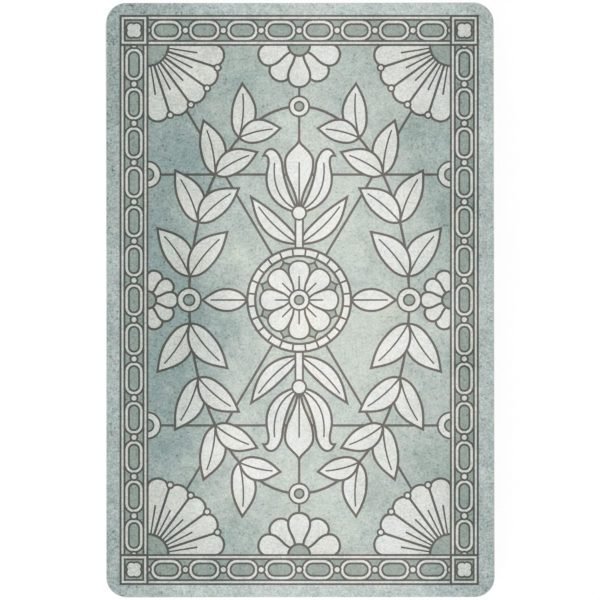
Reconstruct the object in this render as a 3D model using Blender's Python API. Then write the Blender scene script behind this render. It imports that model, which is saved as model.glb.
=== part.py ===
"""Oracle card deck: a squared-up stack of loose, die-cut cards that lies face down.

Metres, +Z up. The origin is the middle of the lowest card's underside. Seen from above, +Y runs
to the cards' top edge and +X to their right edge.
"""

import math
import random

import bmesh
import bpy
from mathutils import Matrix, Vector

# One card, cut from coated board of about 350 g per square metre
CARD_WIDTH = 0.088
CARD_LENGTH = 0.135
CARD_THICKNESS = 0.00036
CORNER_RADIUS = 0.0045
CORNER_SEGMENTS = 8

# The deck, squared up by hand
CARD_COUNT = 44
AIR_GAP = 0.00004
MOST_SLIP = 0.00018
MOST_TURN = math.radians(0.08)
SQUARING_SEED = 21

# Where the thumb pins the deck while it is fanned, up from the lower edge
FAN_AXIS_INSET = 0.018
FAN_AXIS_DISPLAY = 0.01

# Finishes: linear colour and roughness
BACK_COLOUR = (0.456, 0.521, 0.491)
BACK_ROUGHNESS = 0.45
BOARD_COLOUR = (0.79, 0.78, 0.74)
BOARD_ROUGHNESS = 0.8

PITCH = CARD_THICKNESS + AIR_GAP
BOTTOM_CARD = 1
DRAWN_CARD = CARD_COUNT // 2
TOP_CARD = CARD_COUNT


def clear_scene():
    for old in list(bpy.data.objects):
        bpy.data.objects.remove(old, do_unlink=True)


def finish(name, colour, roughness):
    material = bpy.data.materials.new(name)
    material.use_nodes = True
    shader = material.node_tree.nodes["Principled BSDF"]
    shader.inputs["Base Color"].default_value = (*colour, 1.0)
    shader.inputs["Roughness"].default_value = roughness
    shader.inputs["Metallic"].default_value = 0.0
    return material


def underside(number):
    """The height of a card's lower face, counted from 1 at the bottom of the deck."""
    return (number - BOTTOM_CARD) * PITCH


def moves_about(number):
    """A card's origin: the point on the line that it turns about, or slides along.

    The bottom card lies still. The drawn card slides out lengthwise, along its middle. The top card
    turns over on its left edge, like a page. All the others fan about the thumb.
    """
    if number in (BOTTOM_CARD, DRAWN_CARD):
        return Vector((0.0, 0.0, underside(number)))
    if number == TOP_CARD:
        return Vector((-CARD_WIDTH / 2, 0.0, underside(number) + CARD_THICKNESS / 2))
    return Vector((0.0, FAN_AXIS_INSET - CARD_LENGTH / 2, underside(number)))


def die_cut_card():
    """A flat rectangle with its corners rounded, raised to the thickness of the board."""
    form = bmesh.new()
    bmesh.ops.create_grid(form, x_segments=1, y_segments=1, size=0.5)
    bmesh.ops.scale(form, vec=(CARD_WIDTH, CARD_LENGTH, 1.0), verts=form.verts)
    bmesh.ops.bevel(
        form,
        geom=form.verts[:],
        offset=CORNER_RADIUS,
        offset_type="OFFSET",
        segments=CORNER_SEGMENTS,
        profile=0.5,
        affect="VERTICES",
    )
    raised = bmesh.ops.extrude_face_region(form, geom=form.faces[:])["geom"]
    top = [part for part in raised if isinstance(part, bmesh.types.BMVert)]
    bmesh.ops.translate(form, vec=(0.0, 0.0, CARD_THICKNESS), verts=top)
    bmesh.ops.recalc_face_normals(form, faces=form.faces)
    for face in form.faces:
        face.material_index = 0 if face.normal.z > 0.5 else 1
    return form


def make_card(number, squaring, materials):
    """One card, as far out of line with the others as a hand leaves it.

    The lowest card lies true: the others' slip and turn are counted from it. The topmost card has no
    slip, so that its left edge lies where it turns over.
    """
    slip = Vector((squaring.uniform(-1, 1), squaring.uniform(-1, 1), 0.0)) * MOST_SLIP
    turn = squaring.uniform(-1, 1) * MOST_TURN
    if number in (BOTTOM_CARD, TOP_CARD):
        slip = Vector()
    if number == BOTTOM_CARD:
        turn = 0.0
    place = Vector((0.0, 0.0, underside(number))) + slip
    form = die_cut_card()
    form.transform(
        Matrix.Translation(place - moves_about(number)) @ Matrix.Rotation(turn, 4, "Z")
    )
    name = f"card_{number:02d}"
    mesh = bpy.data.meshes.new(name)
    form.to_mesh(mesh)
    form.free()
    mesh.shade_smooth()
    mesh.set_sharp_from_angle(angle=math.radians(30))
    for material in materials:
        mesh.materials.append(material)
    card = bpy.data.objects.new(name, mesh)
    bpy.context.scene.collection.objects.link(card)
    return card


def make_fan_axis():
    """The line that the cards fan about, at the thumb."""
    axis = bpy.data.objects.new("fan_axis", None)
    axis.empty_display_type = "SINGLE_ARROW"
    axis.empty_display_size = FAN_AXIS_DISPLAY
    axis.location = (0.0, FAN_AXIS_INSET - CARD_LENGTH / 2, 0.0)
    bpy.context.scene.collection.objects.link(axis)
    return axis


def carry(card, number, carrier, carrier_place):
    """Hangs a card on what it moves with, at its own place in the deck."""
    card.parent = carrier
    card.location = moves_about(number) - carrier_place


def build_deck():
    squaring = random.Random(SQUARING_SEED)
    materials = (
        finish("printed_back", BACK_COLOUR, BACK_ROUGHNESS),
        finish("board", BOARD_COLOUR, BOARD_ROUGHNESS),
    )
    numbers = range(BOTTOM_CARD, TOP_CARD + 1)
    cards = {number: make_card(number, squaring, materials) for number in numbers}
    fan_axis = make_fan_axis()
    for number, card in cards.items():
        if number == BOTTOM_CARD:
            card.location = moves_about(number)
        elif number in (DRAWN_CARD, TOP_CARD):
            carry(card, number, cards[number - 1], moves_about(number - 1))
        else:
            carry(card, number, fan_axis, fan_axis.location)


clear_scene()
build_deck()
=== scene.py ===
"""Looks of the oracle card deck: 44 printed cards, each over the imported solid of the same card.

Every card back carries the same print, drawn here in millimetres as pieces of leaded glass: one quarter is
painted as outlines, cut into faces and mirrored to the whole card, so that each ink is a material slot.
"""

import math

import bmesh
import bpy
import numpy as np
from mathutils import Matrix, Vector
from mathutils.geometry import delaunay_2d_cdt


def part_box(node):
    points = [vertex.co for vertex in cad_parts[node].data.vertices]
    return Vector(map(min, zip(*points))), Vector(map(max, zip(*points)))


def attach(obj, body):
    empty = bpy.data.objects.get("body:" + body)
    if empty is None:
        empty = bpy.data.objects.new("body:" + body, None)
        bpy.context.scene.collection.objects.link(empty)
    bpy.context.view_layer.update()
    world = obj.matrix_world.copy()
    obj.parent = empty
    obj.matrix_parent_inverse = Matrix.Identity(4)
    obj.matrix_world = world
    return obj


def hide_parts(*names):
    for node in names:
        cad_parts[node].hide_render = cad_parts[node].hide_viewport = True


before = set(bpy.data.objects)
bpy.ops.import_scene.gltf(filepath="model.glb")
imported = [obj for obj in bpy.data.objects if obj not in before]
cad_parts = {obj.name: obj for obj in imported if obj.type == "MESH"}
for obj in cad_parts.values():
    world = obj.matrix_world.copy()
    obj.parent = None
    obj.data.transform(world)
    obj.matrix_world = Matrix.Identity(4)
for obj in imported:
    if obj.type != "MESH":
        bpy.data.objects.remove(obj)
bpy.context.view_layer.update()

MM = 0.001

# Cards, and their size in millimetres, which is read from the lowest one because it lies true
CARDS = sorted(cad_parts)
BOTTOM_CARD, TOP_CARD = CARDS[0], CARDS[-1]
TRUE_LOW, TRUE_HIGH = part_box(BOTTOM_CARD)
HALF_WIDTH = (TRUE_HIGH.x - TRUE_LOW.x) / 2 / MM
HALF_LENGTH = (TRUE_HIGH.y - TRUE_LOW.y) / 2 / MM
THICKNESS = (TRUE_HIGH.z - TRUE_LOW.z) / MM
CORNER_RADIUS = 4.5
EDGE_ROUNDING = 0.05
EDGE_STEPS = 3

# Layout of the back, in millimetres from the middle of its print, which lies a little left of the card's.
# The margin and the border's band are given at the card's sides and at its ends. A link's gap is counted
# from the middle of the bead beside it.
PRINT_SHIFT = -0.19
MARGIN = (3.41, 2.94)
BAND = (6.12, 6.6)
OUTER = (HALF_WIDTH - MARGIN[0], HALF_LENGTH - MARGIN[1])
INNER = (OUTER[0] - BAND[0], OUTER[1] - BAND[1])
END_LINKS = 8
SIDE_LINKS = 13
LINK_INSET = 0.9
LINK_GAP = 0.62
LINK_WALL = 1.0
WREATH = (25.0, 44.0)
WREATH_PAIRS = 4
BOSS_HEIGHT = 28.5
TULIP_FOOT = 19.8
ROSETTE = 11.8

# Layout of the face, likewise
FACE_MARGIN = (7.0, 9.0)
FACE_PANEL = (HALF_WIDTH - FACE_MARGIN[0], HALF_LENGTH - FACE_MARGIN[1])
FACE_FRAME = 1.1
FACE_ROSETTE = 9.0

# Widths of the lines
BOLD, LEAD, FINE, VEIN, HAIR = 0.55, 0.46, 0.45, 0.42, 0.34

# Meshing: how far a chord strays from a curve of the print and from the card's corner, the longest step of
# an arc, how sharp a corner of an outline gets before its mitre is cut short, how near points weld within a
# quarter and along a seam, and the angles under which faces merge and over which an edge shades sharp
CURVE_ERROR = 0.035
CUT_ERROR = 0.006
ARC_STEP = math.radians(22.5)
MITRE_LIMIT = 0.16
WELD = 1e-4
SEAM_WELD = 10 * WELD
FLAT = 0.002
CREASE = math.radians(10)

# Inks, as material slots of a card
GROUND, PALE, JEWEL, LINE, RIM, BOARD = range(6)

# Wash: the size of its broad and small blotches, and how much lighter or darker each makes it
BROAD_BLOTCH, BROAD_SWING = 22, 0.6
SMALL_BLOTCH, SMALL_SWING = 6, 0.42

# Paper: how far its tint swings, how strong its grain is where the wash is deep and where it is light, and
# the grain's share in red, green and blue. Then the sizes of its tint, mottling, flecks and tooth, and the
# part of the noise that makes a fleck.
COOL = (0.93, 1.0, 1.07, 1)
WARM = (1.07, 1.0, 0.93, 1)
GRAIN_IN_WASH = (1.18, 0.64)
GRAIN_TINT = (1.1, 0.97, 0.97)
TINT_SIZE, MOTTLE_SIZE, FLECK_SIZE, TOOTH_SIZE = 14, 1.5, 0.6, 0.45
FLECK_START, FLECK_FULL = 0.66, 0.82

# Bare board at the cut edge: its fibres' size and two colours, and how dark and how light a card's can be
FIBRE_SIZE = 0.5
BOARD_DEEP, BOARD_LIGHT = (218, 216, 208), (242, 241, 236)
BOARD_AGE = (0.88, 1.0)

# Gloss of print and board
PRINT_ROUGHNESS = (0.42, 0.58)
BOARD_ROUGHNESS = (0.75, 0.9)
SPECULAR = 0.25

# Camera: how much of the scene the photograph's frame takes in at the top card, and a long lens
FRAME_PIXELS = 600
PIXEL_ON_CARD = 0.2272
LENS = 200.0
SENSOR = 36.0

# Light: the world and one broad lamp, placed in metres, which together light a level surface by about 1
SKY_LIGHT = 0.7
LAMP_LIGHT = 0.3
LAMP_PLACE = (-0.32, -0.28, 1.3)
LAMP_SIZE = 1.1

# Floor: its size in metres, and how much light it throws back. Where it is seen, it has a white of its own
# and takes up only a little of the light, so that the deck's shadow is faint.
FLOOR_SIZE = 8.0
FLOOR_PALE = 0.8
FLOOR_WHITE = 0.88
FLOOR_SHADOW = 0.15


# Outlines

def points(*pairs):
    return np.array(pairs, float)


def at(centre, radius, degrees):
    """The point at that distance and bearing from the centre."""
    a = math.radians(degrees)
    return np.array((centre[0] + radius * math.cos(a), centre[1] + radius * math.sin(a)))


def arc(centre, radius, start, end, error=CURVE_ERROR):
    """An arc of a circle, or of an ellipse where the radius is a pair."""
    across, along = np.broadcast_to(radius, 2)
    step = min(ARC_STEP, 2 * math.acos(1 - error / max(across, along)))
    sweep = math.radians(end - start)
    a = math.radians(start) + np.linspace(0, sweep, 1 + math.ceil(abs(sweep) / step))
    return np.column_stack((centre[0] + across * np.cos(a), centre[1] + along * np.sin(a)))


def circle(centre, radius):
    return arc(centre, radius, 0, 360)[:-1]


def bezier(a, b, c, d):
    """A cubic curve from a to d, in steps that keep its chords near it."""
    a, b, c, d = points(a, b, c, d)
    bend = max(np.linalg.norm(a - 2 * b + c), np.linalg.norm(b - 2 * c + d))
    t = np.linspace(0, 1, 2 + math.ceil(math.sqrt(0.75 * bend / CURVE_ERROR)))[:, None]
    return (1 - t) ** 3 * a + 3 * (1 - t) ** 2 * t * b + 3 * (1 - t) * t ** 2 * c + t ** 3 * d


def chain(*runs):
    """Runs of points, each starting where the one before it ends, as one run."""
    return np.vstack([runs[0]] + [run[1:] for run in runs[1:]])


def placed(outline, degrees, origin):
    """The outline turned about its own origin, then moved."""
    a = math.radians(degrees)
    turn = points((math.cos(a), math.sin(a)), (-math.sin(a), math.cos(a)))
    return np.asarray(outline) @ turn + np.asarray(origin)


def rectangle(centre, half_x, half_y):
    corners = points((half_x, -half_y), (half_x, half_y), (-half_x, half_y), (-half_x, -half_y))
    return corners + np.asarray(centre)


def anticlockwise(outline):
    x, y = np.asarray(outline, float).T
    doubled_area = np.sum(x * np.roll(y, -1) - np.roll(x, -1) * y)
    return outline if doubled_area > 0 else outline[::-1]


def normals(edges):
    return np.column_stack((edges[:, 1], -edges[:, 0])) / np.linalg.norm(edges, axis=1)[:, None]


def offset(outline, distance):
    """The outline grown by the distance, with its corners mitred, long ones less than in full."""
    outline = anticlockwise(outline)
    after = normals(np.roll(outline, -1, axis=0) - outline)
    mitre = np.roll(after, 1, axis=0) + after
    mitre /= np.maximum(0.5 * np.sum(mitre ** 2, axis=1), MITRE_LIMIT)[:, None]
    return outline + distance * mitre


def ribbon(path, width, end_width):
    """The outline of a stroke along an open path."""
    path = np.asarray(path, float)
    sides = normals(np.diff(path, axis=0))
    out = np.vstack((sides[:1], sides[:-1] + sides[1:], sides[-1:]))
    out /= np.linalg.norm(out, axis=1)[:, None]
    half = np.linspace(width, end_width, len(path))[:, None] / 2
    return np.vstack((path + half * out, (path - half * out)[::-1]))


# Motifs, painted one over the other

painting = []


def paint(outline, ink):
    painting.append((anticlockwise(outline), ink))


def glass(outline, ink, width=BOLD):
    """A piece of glass in its lead line."""
    paint(offset(outline, width / 2), LINE)
    paint(offset(outline, -width / 2), ink)


def stroke(path, width=BOLD, end_width=None):
    paint(ribbon(path, width, end_width or width), LINE)


def vein(centre, degrees, start, end):
    """A line on that bearing from the centre, finer at its end."""
    stroke((at(centre, start, degrees), at(centre, end, degrees)), VEIN, HAIR)


def leaf(base, tip, half, sag=0.0):
    """A pointed leaf with a rib; sag bends it to one side, as a share of its length."""
    base, tip = points(base, tip)
    long = math.dist(base, tip)
    degrees = math.degrees(math.atan2(*(tip - base)[::-1]))
    sag *= long

    def side(h):
        bulge = (0.46 * long, h + sag)
        return chain(
            bezier((0, 0), (0.12 * long, 0.8 * h + 0.3 * sag), (0.3 * long, h + sag), bulge),
            bezier(bulge, (0.7 * long, h + sag), (0.88 * long, 0.32 * h + 0.3 * sag), (long, 0)),
        )

    outline = np.vstack((side(half), side(-half)[-2:0:-1]))
    glass(placed(outline, degrees, base), PALE)
    rib = bezier((0, 0), (0.3 * long, sag), (0.55 * long, sag), (0.82 * long, 0.35 * sag))
    stroke(placed(rib, degrees, base), VEIN, HAIR)


def petal(centre, degrees, near, far, half, neck=0.35, point=0.0):
    """The outline of a petal. Its neck is a share of its width. Point 0 rounds its end, 1 sharpens it."""
    long = far - near
    shoulder = near + 0.7 * long
    edge = chain(
        bezier(
            (near, neck * half),
            (near + 0.35 * long, neck * half),
            (near + 0.42 * long, half),
            (shoulder, half),
        ),
        bezier(
            (shoulder, half),
            (near + (0.88 - 0.04 * point) * long, half),
            (far - 0.12 * point * long, (0.6 - 0.5 * point) * half),
            (far, 0),
        ),
    )
    outline = np.vstack((edge, edge[-2::-1] * (1, -1)))
    return placed(outline, degrees, centre)


def bead(centre, radius, hole=0.0):
    glass(circle(centre, radius), PALE, FINE)
    if hole:
        glass(circle(centre, hole), JEWEL, VEIN)


def daisy(centre, middle, near, far, half):
    """Half a daisy that springs from the edge of the field, with its middle petal on top."""
    for turn in (-72, -36, 36, 72, 0):
        glass(petal(centre, middle + turn, 0.6 * near, far, half), PALE)
    glass(circle(centre, near), JEWEL)


def shell(centre, ribs, near, far):
    """A scallop shell that fills a corner of the field, with a bead in each notch of its rim."""
    step = 90 / ribs
    half = far * math.sin(math.radians(step / 2))
    reach = far * math.cos(math.radians(step / 2))
    lobe = arc((reach, 0), (0.9 * half, half), -90, 90)
    rib = np.vstack((at((0, 0), near, -step / 2), lobe, at((0, 0), near, step / 2)))
    for k in range(ribs):
        middle = 180 + step * (k + 0.5)
        glass(placed(rib, middle, centre), PALE)
        vein(centre, middle, start=near + 0.62 * (far - near), end=near)
    notch = far + 1.15
    for k in range(1, ribs):
        bead(at(centre, notch, 180 + step * k), 0.72)
    glass(circle(centre, near), JEWEL)


def rose(ring):
    """The rosette in the middle of a card, in a ring of short bars."""
    middle = (0, 0)
    bar = 1.8
    hub = ring - bar
    glass(circle(middle, ring), PALE)
    for degrees in np.arange(7.5, 90, 15):
        stroke((at(middle, hub, degrees), at(middle, ring, degrees)), VEIN)
    glass(circle(middle, hub), GROUND)
    for degrees in (22.5, 67.5):
        glass(petal(middle, degrees, near=2.5, far=0.94 * hub, half=1.9, point=1.0), JEWEL, FINE)
    for degrees in (0, 45, 90):
        glass(petal(middle, degrees, near=1.9, far=0.89 * hub, half=0.24 * hub, neck=0.52), PALE, LEAD)
        vein(middle, degrees, start=2.0, end=0.55 * hub)
    bead(middle, 2.3, hole=1.05)


def tulip(foot):
    """A tulip on the card's long axis, with a bead at the foot of its cup."""
    leaf((0.3, foot - 7.0), (10.9, foot + 3.6), half=2.2, sag=-0.07)
    glass(rectangle((0, foot - 5), 0.85, 5), PALE, FINE)
    cup = chain(
        bezier((0, 0), (6.0, 1.0), (8.2, 5.5), (7.2, 9.8)),
        bezier((7.2, 9.8), (6.6, 12.2), (7.1, 13.3), (8.1, 13.0)),
        bezier((8.1, 13.0), (7.2, 15.4), (4.8, 15.0), (3.9, 11.4)),
        bezier((3.9, 11.4), (3.6, 7.0), (1.8, 3.0), (0, 0)),
    )[:-1]
    glass(cup + (0, foot), PALE)
    stroke(bezier((1.0, 0.9), (4.9, 3.0), (6.0, 7.0), (5.6, 11.4)) + (0, foot), VEIN, HAIR)
    glass(petal((0, 0), 90, near=foot, far=foot + 16.4, half=3.2, neck=0.1, point=0.8), PALE)
    vein((0, 0), 90, start=foot + 1, end=foot + 11.5)
    bead((0, foot), 1.6)


def wreath(across, along):
    """Pairs of leaves on an oval stem, from a bead at the side to one at the end, each pair smaller."""
    stem = 0.6
    longest = 13.2
    stroke(arc((0, 0), (across, along), 0, 90), stem)
    for k, degrees in enumerate(np.linspace(7, 57, WREATH_PAIRS)):
        a = math.radians(degrees)
        base = (across * math.cos(a), along * math.sin(a))
        heading = math.degrees(math.atan2(along * math.cos(a), -across * math.sin(a)))
        outer_tip = at(base, longest - 0.3 * k, heading - 38)
        inner_tip = at(base, longest - 1.2 * k, heading + 36)
        leaf(base, outer_tip, half=3.0 - 0.1 * k, sag=0.06)
        leaf(base, inner_tip, half=2.9 - 0.12 * k, sag=-0.06)
    bead((across, 0), 2.7, hole=1.25)
    bead((0, along), 2.3, hole=1.05)


def surround(x, y, ink):
    """Everything beyond x at the side and y at the end, with a lead line round the inside."""
    reach = 2 * HALF_LENGTH
    for edge, colour in ((-LEAD / 2, LINE), (LEAD / 2, ink)):
        near_x, near_y = x + edge, y + edge
        paint(
            points(
                (near_x, -reach),
                (reach, -reach),
                (reach, reach),
                (-reach, reach),
                (-reach, near_y),
                (near_x, near_y),
            ),
            colour,
        )


def border_run(links, length, upright, band, across):
    """Chain links along one side of the border, with a pane and a bead between each two."""
    pitch = 2 * length / links
    middles = (np.arange(links) - (links - 1) / 2) * pitch
    middles = middles[middles > -pitch / 4]
    gaps = np.append(middles[middles > pitch / 4] - pitch / 2, length)
    link_half = band / 2 - LINK_INSET
    straight = pitch / 2 - LINK_GAP - link_half
    pane = (pitch / 2 - straight, link_half)
    flip = -1 if upright else 1

    def place(u):
        return (u, across)[::flip]

    for u in gaps:
        glass(rectangle(place(u), *pane[::flip]), JEWEL, FINE)
    for u in middles:
        for half, ink in ((link_half, PALE), (link_half - LINK_WALL, JEWEL)):
            link = np.vstack((arc((straight, 0), half, -90, 90), arc((-straight, 0), half, 90, 270)))
            glass(link[:, ::flip] + place(u), ink, FINE)
    for u in gaps:
        bead(place(u), 0.8)


def corner_tile(middle, half_x, half_y):
    """A square pane with a quatrefoil, where two sides of the border meet."""
    rim = 0.95
    lobe_reach, lobe_radius = 0.86, 1.12
    glass(rectangle(middle, half_x, half_y), PALE)
    glass(rectangle(middle, half_x - rim, half_y - rim), JEWEL, FINE)
    lobes = [circle(at(middle, lobe_reach, degrees), lobe_radius) for degrees in (45, 135, 225, 315)]
    for lobe in lobes:
        paint(offset(lobe, VEIN / 2), LINE)
    for lobe in lobes:
        paint(offset(lobe, -VEIN / 2), PALE)


def border():
    half_x, half_y = BAND[0] / 2, BAND[1] / 2
    middle = (INNER[0] + half_x, INNER[1] + half_y)
    surround(*INNER, PALE)
    border_run(END_LINKS, INNER[0], False, BAND[1], middle[1])
    border_run(SIDE_LINKS, INNER[1], True, BAND[0], middle[0])
    corner_tile(middle, half_x, half_y)
    surround(*OUTER, RIM)


def draw_back():
    """The quarter of the back with x and y above zero."""
    painting.clear()
    stroke(((0, 0), (0, INNER[1])))
    stroke(((0, 0), (INNER[0], 0)))
    stroke(((0, 0), INNER))
    stroke(((0, BOSS_HEIGHT), (INNER[0], BOSS_HEIGHT)))
    shell(INNER, ribs=5, near=4.8, far=15.6)
    daisy((0, INNER[1]), middle=270, near=2.5, far=9.6, half=2.5)
    daisy((INNER[0], 0), middle=180, near=2.0, far=6.9, half=1.8)
    bead((INNER[0], BOSS_HEIGHT), 3.0, hole=1.4)
    wreath(*WREATH)
    tulip(TULIP_FOOT)
    leaf((ROSETTE, 0), (WREATH[0] - 3.0, 0), half=2.5)
    rose(ROSETTE)
    border()


def draw_face():
    """The quarter of the face, which the photograph doesn't show: a plain frame and a small rosette."""
    painting.clear()
    surround(*FACE_PANEL, PALE)
    surround(FACE_PANEL[0] + FACE_FRAME, FACE_PANEL[1] + FACE_FRAME, PALE)
    shell(FACE_PANEL, ribs=3, near=2.6, far=8.0)
    leaf((0, FACE_ROSETTE), (0, 19.0), half=2.2)
    leaf((FACE_ROSETTE, 0), (17.0, 0), half=2.0)
    rose(FACE_ROSETTE)


# Mesh of one card

def card_quarter(inset):
    """A quarter of the card's outline, pulled in by the inset."""
    core = (HALF_WIDTH - CORNER_RADIUS, HALF_LENGTH - CORNER_RADIUS)
    round_corner = arc(core, CORNER_RADIUS - inset, 0, 90, CUT_ERROR)
    return np.vstack(((0, 0), (HALF_WIDTH - inset, 0), round_corner, (0, HALF_LENGTH - inset)))


def cut_quarter(outline):
    """The painted quarter as flat triangles, each with the ink that was painted there last."""
    sheets = [(outline, GROUND)] + painting
    ends, loops = [], []
    for shape, _ in sheets:
        loops.append(list(range(len(ends), len(ends) + len(shape))))
        ends.extend(Vector(p) for p in shape)
    ends, _, triangles, _, _, sources = delaunay_2d_cdt(ends, [], loops, 0, WELD)
    cut = bmesh.new()
    verts = [cut.verts.new((*p, 0)) for p in ends]
    for corners, source in zip(triangles, sources):
        if 0 in source:
            cut.faces.new([verts[i] for i in corners]).material_index = sheets[max(source)][1]
    bmesh.ops.delete(cut, geom=[v for v in cut.verts if not v.link_faces], context="VERTS")
    bmesh.ops.dissolve_limit(cut, angle_limit=FLAT, verts=cut.verts, edges=cut.edges, delimit={"MATERIAL"})
    bmesh.ops.triangulate(cut, faces=cut.faces)
    return cut


def add_sheet(card, height):
    """Adds the painting to the card at that height, in four mirrored quarters welded into one sheet."""
    quarter = cut_quarter(card_quarter(EDGE_ROUNDING))
    made = []
    for flip_x, flip_y in ((1, 1), (1, -1), (-1, 1), (-1, -1)):
        verts = {v: card.verts.new((flip_x * v.co.x, flip_y * v.co.y, height)) for v in quarter.verts}
        made.extend(verts.values())
        for face in quarter.faces:
            copy = card.faces.new([verts[v] for v in face.verts])
            copy.material_index = face.material_index
    bmesh.ops.remove_doubles(card, verts=made, dist=SEAM_WELD)
    for vert in card.verts:
        if abs(vert.co.z - height) < WELD and not vert.is_boundary:
            vert.co.x += PRINT_SHIFT
    quarter.free()


def edge_profile():
    """(inset, height) down the card's edge, from under its back to the rim of its face, both rounded."""
    turns = [math.radians(90 * k / EDGE_STEPS) for k in range(EDGE_STEPS + 1)]
    rounding = [(EDGE_ROUNDING * (1 - math.sin(a)), EDGE_ROUNDING * (1 - math.cos(a))) for a in turns]
    upper = [(inset, THICKNESS - drop) for inset, drop in rounding[1:]]
    return upper + rounding[::-1]


def edge_point(rim_point, inset, height):
    """The point on the cut edge beside a point of the rim, pulled in by the inset."""
    core = Vector((HALF_WIDTH - CORNER_RADIUS, HALF_LENGTH - CORNER_RADIUS))
    centre = Vector((max(-core.x, min(core.x, rim_point.x)), max(-core.y, min(core.y, rim_point.y))))
    outward = (rim_point.xy - centre).normalized()
    return (*(centre + (CORNER_RADIUS - inset) * outward), height)


def add_edge(card):
    """Closes the card between its two sheets with a cut edge of bare board, ring by ring."""
    ring = [e.verts[:] for e in card.edges if e.is_boundary and e.verts[0].co.z > THICKNESS / 2]
    for inset, height in edge_profile():
        rim = dict.fromkeys(vert for pair in ring for vert in pair)
        below = {vert: card.verts.new(edge_point(vert.co, inset, height)) for vert in rim}
        for a, b in ring:
            card.faces.new((a, b, below[b], below[a])).material_index = BOARD
        ring = [(below[a], below[b]) for a, b in ring]
    bmesh.ops.remove_doubles(card, verts=card.verts, dist=SEAM_WELD)
    bmesh.ops.recalc_face_normals(card, faces=card.faces)


def unwrap(card):
    """Lays the card out for baking: its back large, its face small beside it, its edge in four strips."""
    uv = card.loops.layers.uv.new("OFBake")
    gutter = 0.01
    back_scale = (1 - 2 * gutter) / (2 * HALF_LENGTH)
    face_left = 2 * gutter + 2 * HALF_WIDTH * back_scale
    face_width = 1 - gutter - face_left
    face_scale = face_width / (2 * HALF_WIDTH)
    strip_bottom = 3 * gutter + 2 * HALF_LENGTH * face_scale
    strip_height = 0.06
    strip_gap = 0.1
    for face in card.faces:
        middle = face.calc_center_median()
        quarter = 2 * (middle.x > 0) + (middle.y > 0)
        for loop in face.loops:
            x, y, z = loop.vert.co
            from_corner = Vector((x + HALF_WIDTH, y + HALF_LENGTH))
            if face.material_index == BOARD:
                along = (abs(y) + HALF_WIDTH - abs(x)) / (HALF_WIDTH + HALF_LENGTH)
                up = quarter + strip_gap + (1 - 2 * strip_gap) * z / THICKNESS
                loop[uv].uv = (face_left + face_width * along, strip_bottom + strip_height * up)
            elif z > THICKNESS / 2:
                loop[uv].uv = Vector((gutter, gutter)) + back_scale * from_corner
            else:
                loop[uv].uv = Vector((face_left, gutter)) + face_scale * from_corner


def make_card_mesh(materials):
    """The mesh that all cards share: its back up, its underside at zero and its middle on the z axis."""
    card = bmesh.new()
    draw_back()
    add_sheet(card, THICKNESS)
    draw_face()
    add_sheet(card, 0)
    add_edge(card)
    unwrap(card)
    bmesh.ops.scale(card, vec=(MM, MM, MM), verts=card.verts)
    mesh = bpy.data.meshes.new("printed_card")
    card.to_mesh(mesh)
    card.free()
    for material in materials:
        mesh.materials.append(material)
    mesh.set_sharp_from_angle(angle=CREASE)
    return mesh


# Materials

def node(tree, kind, inputs=None, **settings):
    """Adds a node. An input that is another node's socket is linked, and any other is set."""
    made = tree.nodes.new("ShaderNode" + kind)
    for name, value in settings.items():
        setattr(made, name, value)
    for name, value in (inputs or {}).items():
        if isinstance(value, bpy.types.NodeSocket):
            tree.links.new(value, made.inputs[name])
        else:
            made.inputs[name].default_value = value
    return made


def math_node(tree, operation, a, b):
    return node(tree, "Math", {0: a, 1: b}, operation=operation).outputs[0]


def vector_node(tree, operation, *inputs):
    return node(tree, "VectorMath", dict(enumerate(inputs)), operation=operation).outputs[0]


def mix(tree, share, first, second):
    return node(tree, "Mix", {0: share, 6: first, 7: second}, data_type="RGBA").outputs[2]


def spread(tree, value, low, high):
    """A value from 0 to 1 stretched to run from low to high."""
    return node(tree, "MapRange", {"Value": value, "To Min": low, "To Max": high}).outputs[0]


def srgb(red, green, blue):
    """A colour as an image holds it, 0 to 255, in the linear values that a node takes."""
    levels = (c / 255 for c in (red, green, blue))
    return (*(c / 12.92 if c <= 0.04045 else ((c + 0.055) / 1.055) ** 2.4 for c in levels), 1)


def card_place(tree):
    """The point on the card, the same for every card wherever it lies."""
    return node(tree, "TexCoord").outputs["Object"]


def noise(tree, size, detail=2.0, rough=0.5):
    """Noise with features of about that size, in millimetres."""
    inputs = {"Vector": card_place(tree), "Scale": 1 / (size * MM), "Detail": detail, "Roughness": rough}
    return node(tree, "TexNoise", inputs).outputs["Fac"]


def glow(tree, centre, radii, inside, outside, strength):
    """The strength about a centre, in millimetres, which fades out between two shares of the radii."""
    shifted = vector_node(tree, "SUBTRACT", card_place(tree), (centre[0] * MM, centre[1] * MM, 0))
    scaled = vector_node(tree, "MULTIPLY", shifted, (1 / (radii[0] * MM), 1 / (radii[1] * MM), 0))
    away = node(tree, "VectorMath", {0: scaled}, operation="LENGTH").outputs["Value"]
    fade = {"Value": away, "From Min": outside, "From Max": inside, "To Max": strength}
    return node(tree, "MapRange", fade, interpolation_type="SMOOTHSTEP").outputs[0]


def wash(tree, glows):
    """How light the water-colour wash is at a point: the glows given, broken up by blotches."""
    broad = spread(tree, noise(tree, BROAD_BLOTCH), -BROAD_SWING, BROAD_SWING)
    small = spread(tree, noise(tree, SMALL_BLOTCH, detail=3.0), -SMALL_SWING, SMALL_SWING)
    total = math_node(tree, "ADD", broad, small)
    for place in glows:
        total = math_node(tree, "ADD", total, glow(tree, *place))
    return node(tree, "Clamp", {"Value": total}).outputs[0]


def new_material(name):
    """A material with its node tree and shader, less glossy than plastic."""
    material = bpy.data.materials.new(name)
    material.use_nodes = True
    shader = material.node_tree.nodes["Principled BSDF"]
    shader.inputs["Specular IOR Level"].default_value = SPECULAR
    return material, material.node_tree, shader


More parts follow.
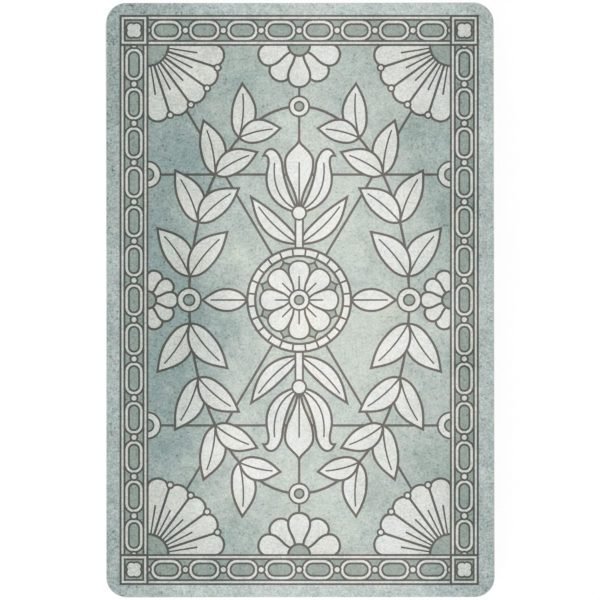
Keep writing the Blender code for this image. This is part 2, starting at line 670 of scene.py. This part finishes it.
def add_bump(tree, shader, height, strength, distance):
    bump = node(tree, "Bump", {"Height": height, "Strength": strength, "Distance": distance * MM})
    tree.links.new(bump.outputs[0], shader.inputs["Normal"])


def make_ink(name, deep, light, glows, grain, mottle, flecks):
    """A printed ink, from deep to light with the wash, under the paper's grain, mottling and flecks.

    Grain and mottle lighten and darken it, and flecks darken it, by those shares where the wash is deep.
    """
    material, tree, shader = new_material(name)
    tone = wash(tree, glows)
    colour = mix(tree, tone, srgb(*deep), srgb(*light))
    hue = mix(tree, noise(tree, TINT_SIZE, detail=5.0, rough=0.85), COOL, WARM)
    tinted = vector_node(tree, "MULTIPLY", colour, hue)
    tooth = noise(tree, TOOTH_SIZE, detail=1.0)
    speck = noise(tree, FLECK_SIZE, detail=0.0)
    window = {"Value": speck, "From Min": FLECK_START, "From Max": FLECK_FULL, "To Max": -flecks}
    fleck = node(tree, "MapRange", window).outputs[0]
    fine = math_node(tree, "ADD", spread(tree, tooth, -grain, grain), fleck)
    uneven = math_node(tree, "ADD", fine, spread(tree, noise(tree, MOTTLE_SIZE), -mottle, mottle))
    calmer = math_node(tree, "MULTIPLY", uneven, spread(tree, tone, *GRAIN_IN_WASH))
    shade = vector_node(tree, "MULTIPLY_ADD", calmer, GRAIN_TINT, (1, 1, 1))
    printed = vector_node(tree, "MULTIPLY", tinted, shade)
    tree.links.new(printed, shader.inputs["Base Color"])
    tree.links.new(spread(tree, tooth, *PRINT_ROUGHNESS), shader.inputs["Roughness"])
    add_bump(tree, shader, tooth, strength=0.15, distance=0.02)
    return material


def make_board():
    """The cut edge: pale board with fibres, a little darker on one card than on another."""
    material, tree, shader = new_material("cut_board")
    fibres = noise(tree, FIBRE_SIZE, detail=3.0, rough=0.6)
    colour = mix(tree, fibres, srgb(*BOARD_DEEP), srgb(*BOARD_LIGHT))
    aged = spread(tree, node(tree, "ObjectInfo").outputs["Random"], *BOARD_AGE)
    tree.links.new(vector_node(tree, "MULTIPLY", colour, aged), shader.inputs["Base Color"])
    tree.links.new(spread(tree, fibres, *BOARD_ROUGHNESS), shader.inputs["Roughness"])
    add_bump(tree, shader, fibres, strength=0.3, distance=0.03)
    return material


def make_materials():
    """The inks and the board, in the order of a card's slots.

    A glow is its centre, its radii, the shares of them where it starts to fade and is gone, and its
    strength. An ink is its deep and its light colour, the glows of its wash, and its grain, mottling
    and flecks.
    """
    field = (
        ((6, -3), (36, 106), 0.1, 1.25, 1.0),
        ((-30, 1), (18, 28), 0.0, 1.0, -0.45),
        ((-13, -40), (17, 24), 0.0, 1.0, 0.45),
    )
    rim = (
        ((4, -10), (57, 200), 0.3, 1.15, 1.0),
        ((-44, 67), (34, 55), 0.0, 1.0, -0.5),
        ((44, -67), (28, 45), 0.0, 1.0, -0.3),
    )
    inks = (
        ("ink_ground", (141, 160, 157), (206, 214, 205), field, 0.41, 0.17, 0.32),
        ("ink_pale", (197, 203, 196), (238, 239, 234), field, 0.33, 0.08, 0.12),
        ("ink_jewel", (141, 156, 148), (170, 181, 172), field, 0.40, 0.14, 0.3),
        ("ink_line", (75, 78, 72), (119, 113, 107), field, 0.45, 0.12, 0.0),
        ("ink_rim", (152, 166, 163), (196, 206, 203), rim, 0.60, 0.28, 0.38),
    )
    return [make_ink(*ink) for ink in inks] + [make_board()]


# Cards on the frame

def card_matrix(name):
    """Where a card lies: its middle, its underside and its small turn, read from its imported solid."""
    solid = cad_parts[name].data
    corners = np.unique(np.round([v.co for v in solid.vertices], 7), axis=0)
    middle = corners.mean(axis=0)
    (xx, xy), (_, yy) = np.cov(corners[:, :2].T)
    turn = 0.5 * math.atan2(-2 * xy, yy - xx)
    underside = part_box(name)[0].z
    return Matrix.Translation((middle[0], middle[1], underside)) @ Matrix.Rotation(turn, 4, "Z")


def add_cards():
    """One printed card over each solid, the top card first."""
    mesh = make_card_mesh(make_materials())
    for name in reversed(CARDS):
        card = bpy.data.objects.new("printed_" + name, mesh)
        bpy.context.scene.collection.objects.link(card)
        card.matrix_world = card_matrix(name)
        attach(card, name)
        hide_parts(name)


# Stage

def seen_directly(tree):
    """1 for rays from the camera, or by way of a reflection or glass, and else 0."""
    path = node(tree, "LightPath").outputs
    glossy = math_node(tree, "MAXIMUM", path["Is Glossy Ray"], path["Is Transmission Ray"])
    return math_node(tree, "MAXIMUM", path["Is Camera Ray"], glossy)


def add_world():
    """A white backdrop that gives the deck only part of its light."""
    world = bpy.data.worlds.new("studio")
    bpy.context.scene.world = world
    world.use_nodes = True
    tree = world.node_tree
    backdrop = tree.nodes["Background"]
    backdrop.inputs["Color"].default_value = (1, 1, 1, 1)
    tree.links.new(spread(tree, seen_directly(tree), SKY_LIGHT, 1), backdrop.inputs["Strength"])


def add_lamp():
    """A broad soft lamp, high up over the lower left and as strong as its distance calls for."""
    lamp = bpy.data.lights.new("soft_lamp", "AREA")
    lamp.size = LAMP_SIZE
    away = Vector(LAMP_PLACE)
    facing = away.z / away.length
    lamp.energy = LAMP_LIGHT * (math.pi * away.length) ** 2 / facing
    lamp_object = bpy.data.objects.new("soft_lamp", lamp)
    lamp_object.location = away
    lamp_object.rotation_euler = (-away).to_track_quat("-Z", "Y").to_euler()
    bpy.context.scene.collection.objects.link(lamp_object)


def make_floor_material():
    """White where it is seen, with a faint shadow, and pale for the light it throws back."""
    material = bpy.data.materials.new("pale_floor")
    material.use_nodes = True
    tree = material.node_tree
    tree.nodes.remove(tree.nodes["Principled BSDF"])
    pale = node(tree, "BsdfDiffuse", {"Color": (FLOOR_PALE, FLOOR_PALE, FLOOR_PALE, 1)}).outputs[0]
    shaded = node(tree, "BsdfDiffuse", {"Color": (FLOOR_SHADOW, FLOOR_SHADOW, FLOOR_SHADOW, 1)}).outputs[0]
    white = node(tree, "Emission", {"Color": (1, 1, 1, 1), "Strength": FLOOR_WHITE}).outputs[0]
    seen = node(tree, "AddShader", {0: shaded, 1: white}).outputs[0]
    floor = node(tree, "MixShader", {0: seen_directly(tree), 1: pale, 2: seen}).outputs[0]
    tree.links.new(floor, tree.nodes["Material Output"].inputs["Surface"])
    return material


def add_floor():
    sheet = bmesh.new()
    bmesh.ops.create_grid(sheet, x_segments=1, y_segments=1, size=FLOOR_SIZE / 2)
    mesh = bpy.data.meshes.new("floor")
    sheet.to_mesh(mesh)
    sheet.free()
    mesh.materials.append(make_floor_material())
    floor = bpy.data.objects.new("floor", mesh)
    bpy.context.scene.collection.objects.link(floor)


def add_camera():
    """Straight above the top card and square to it, with the photograph's frame at its back's level."""
    camera = bpy.data.cameras.new("camera")
    camera.lens = LENS
    camera.sensor_width = SENSOR
    camera_object = bpy.data.objects.new("camera", camera)
    frame_width = FRAME_PIXELS * PIXEL_ON_CARD * MM
    height = THICKNESS * MM + frame_width * LENS / SENSOR
    camera_object.matrix_world = card_matrix(TOP_CARD) @ Matrix.Translation((0, 0, height))
    bpy.context.scene.collection.objects.link(camera_object)
    bpy.context.scene.camera = camera_object


add_camera()
add_world()
add_lamp()
add_floor()
add_cards()
bpy.context.scene.view_settings.view_transform = "Standard"
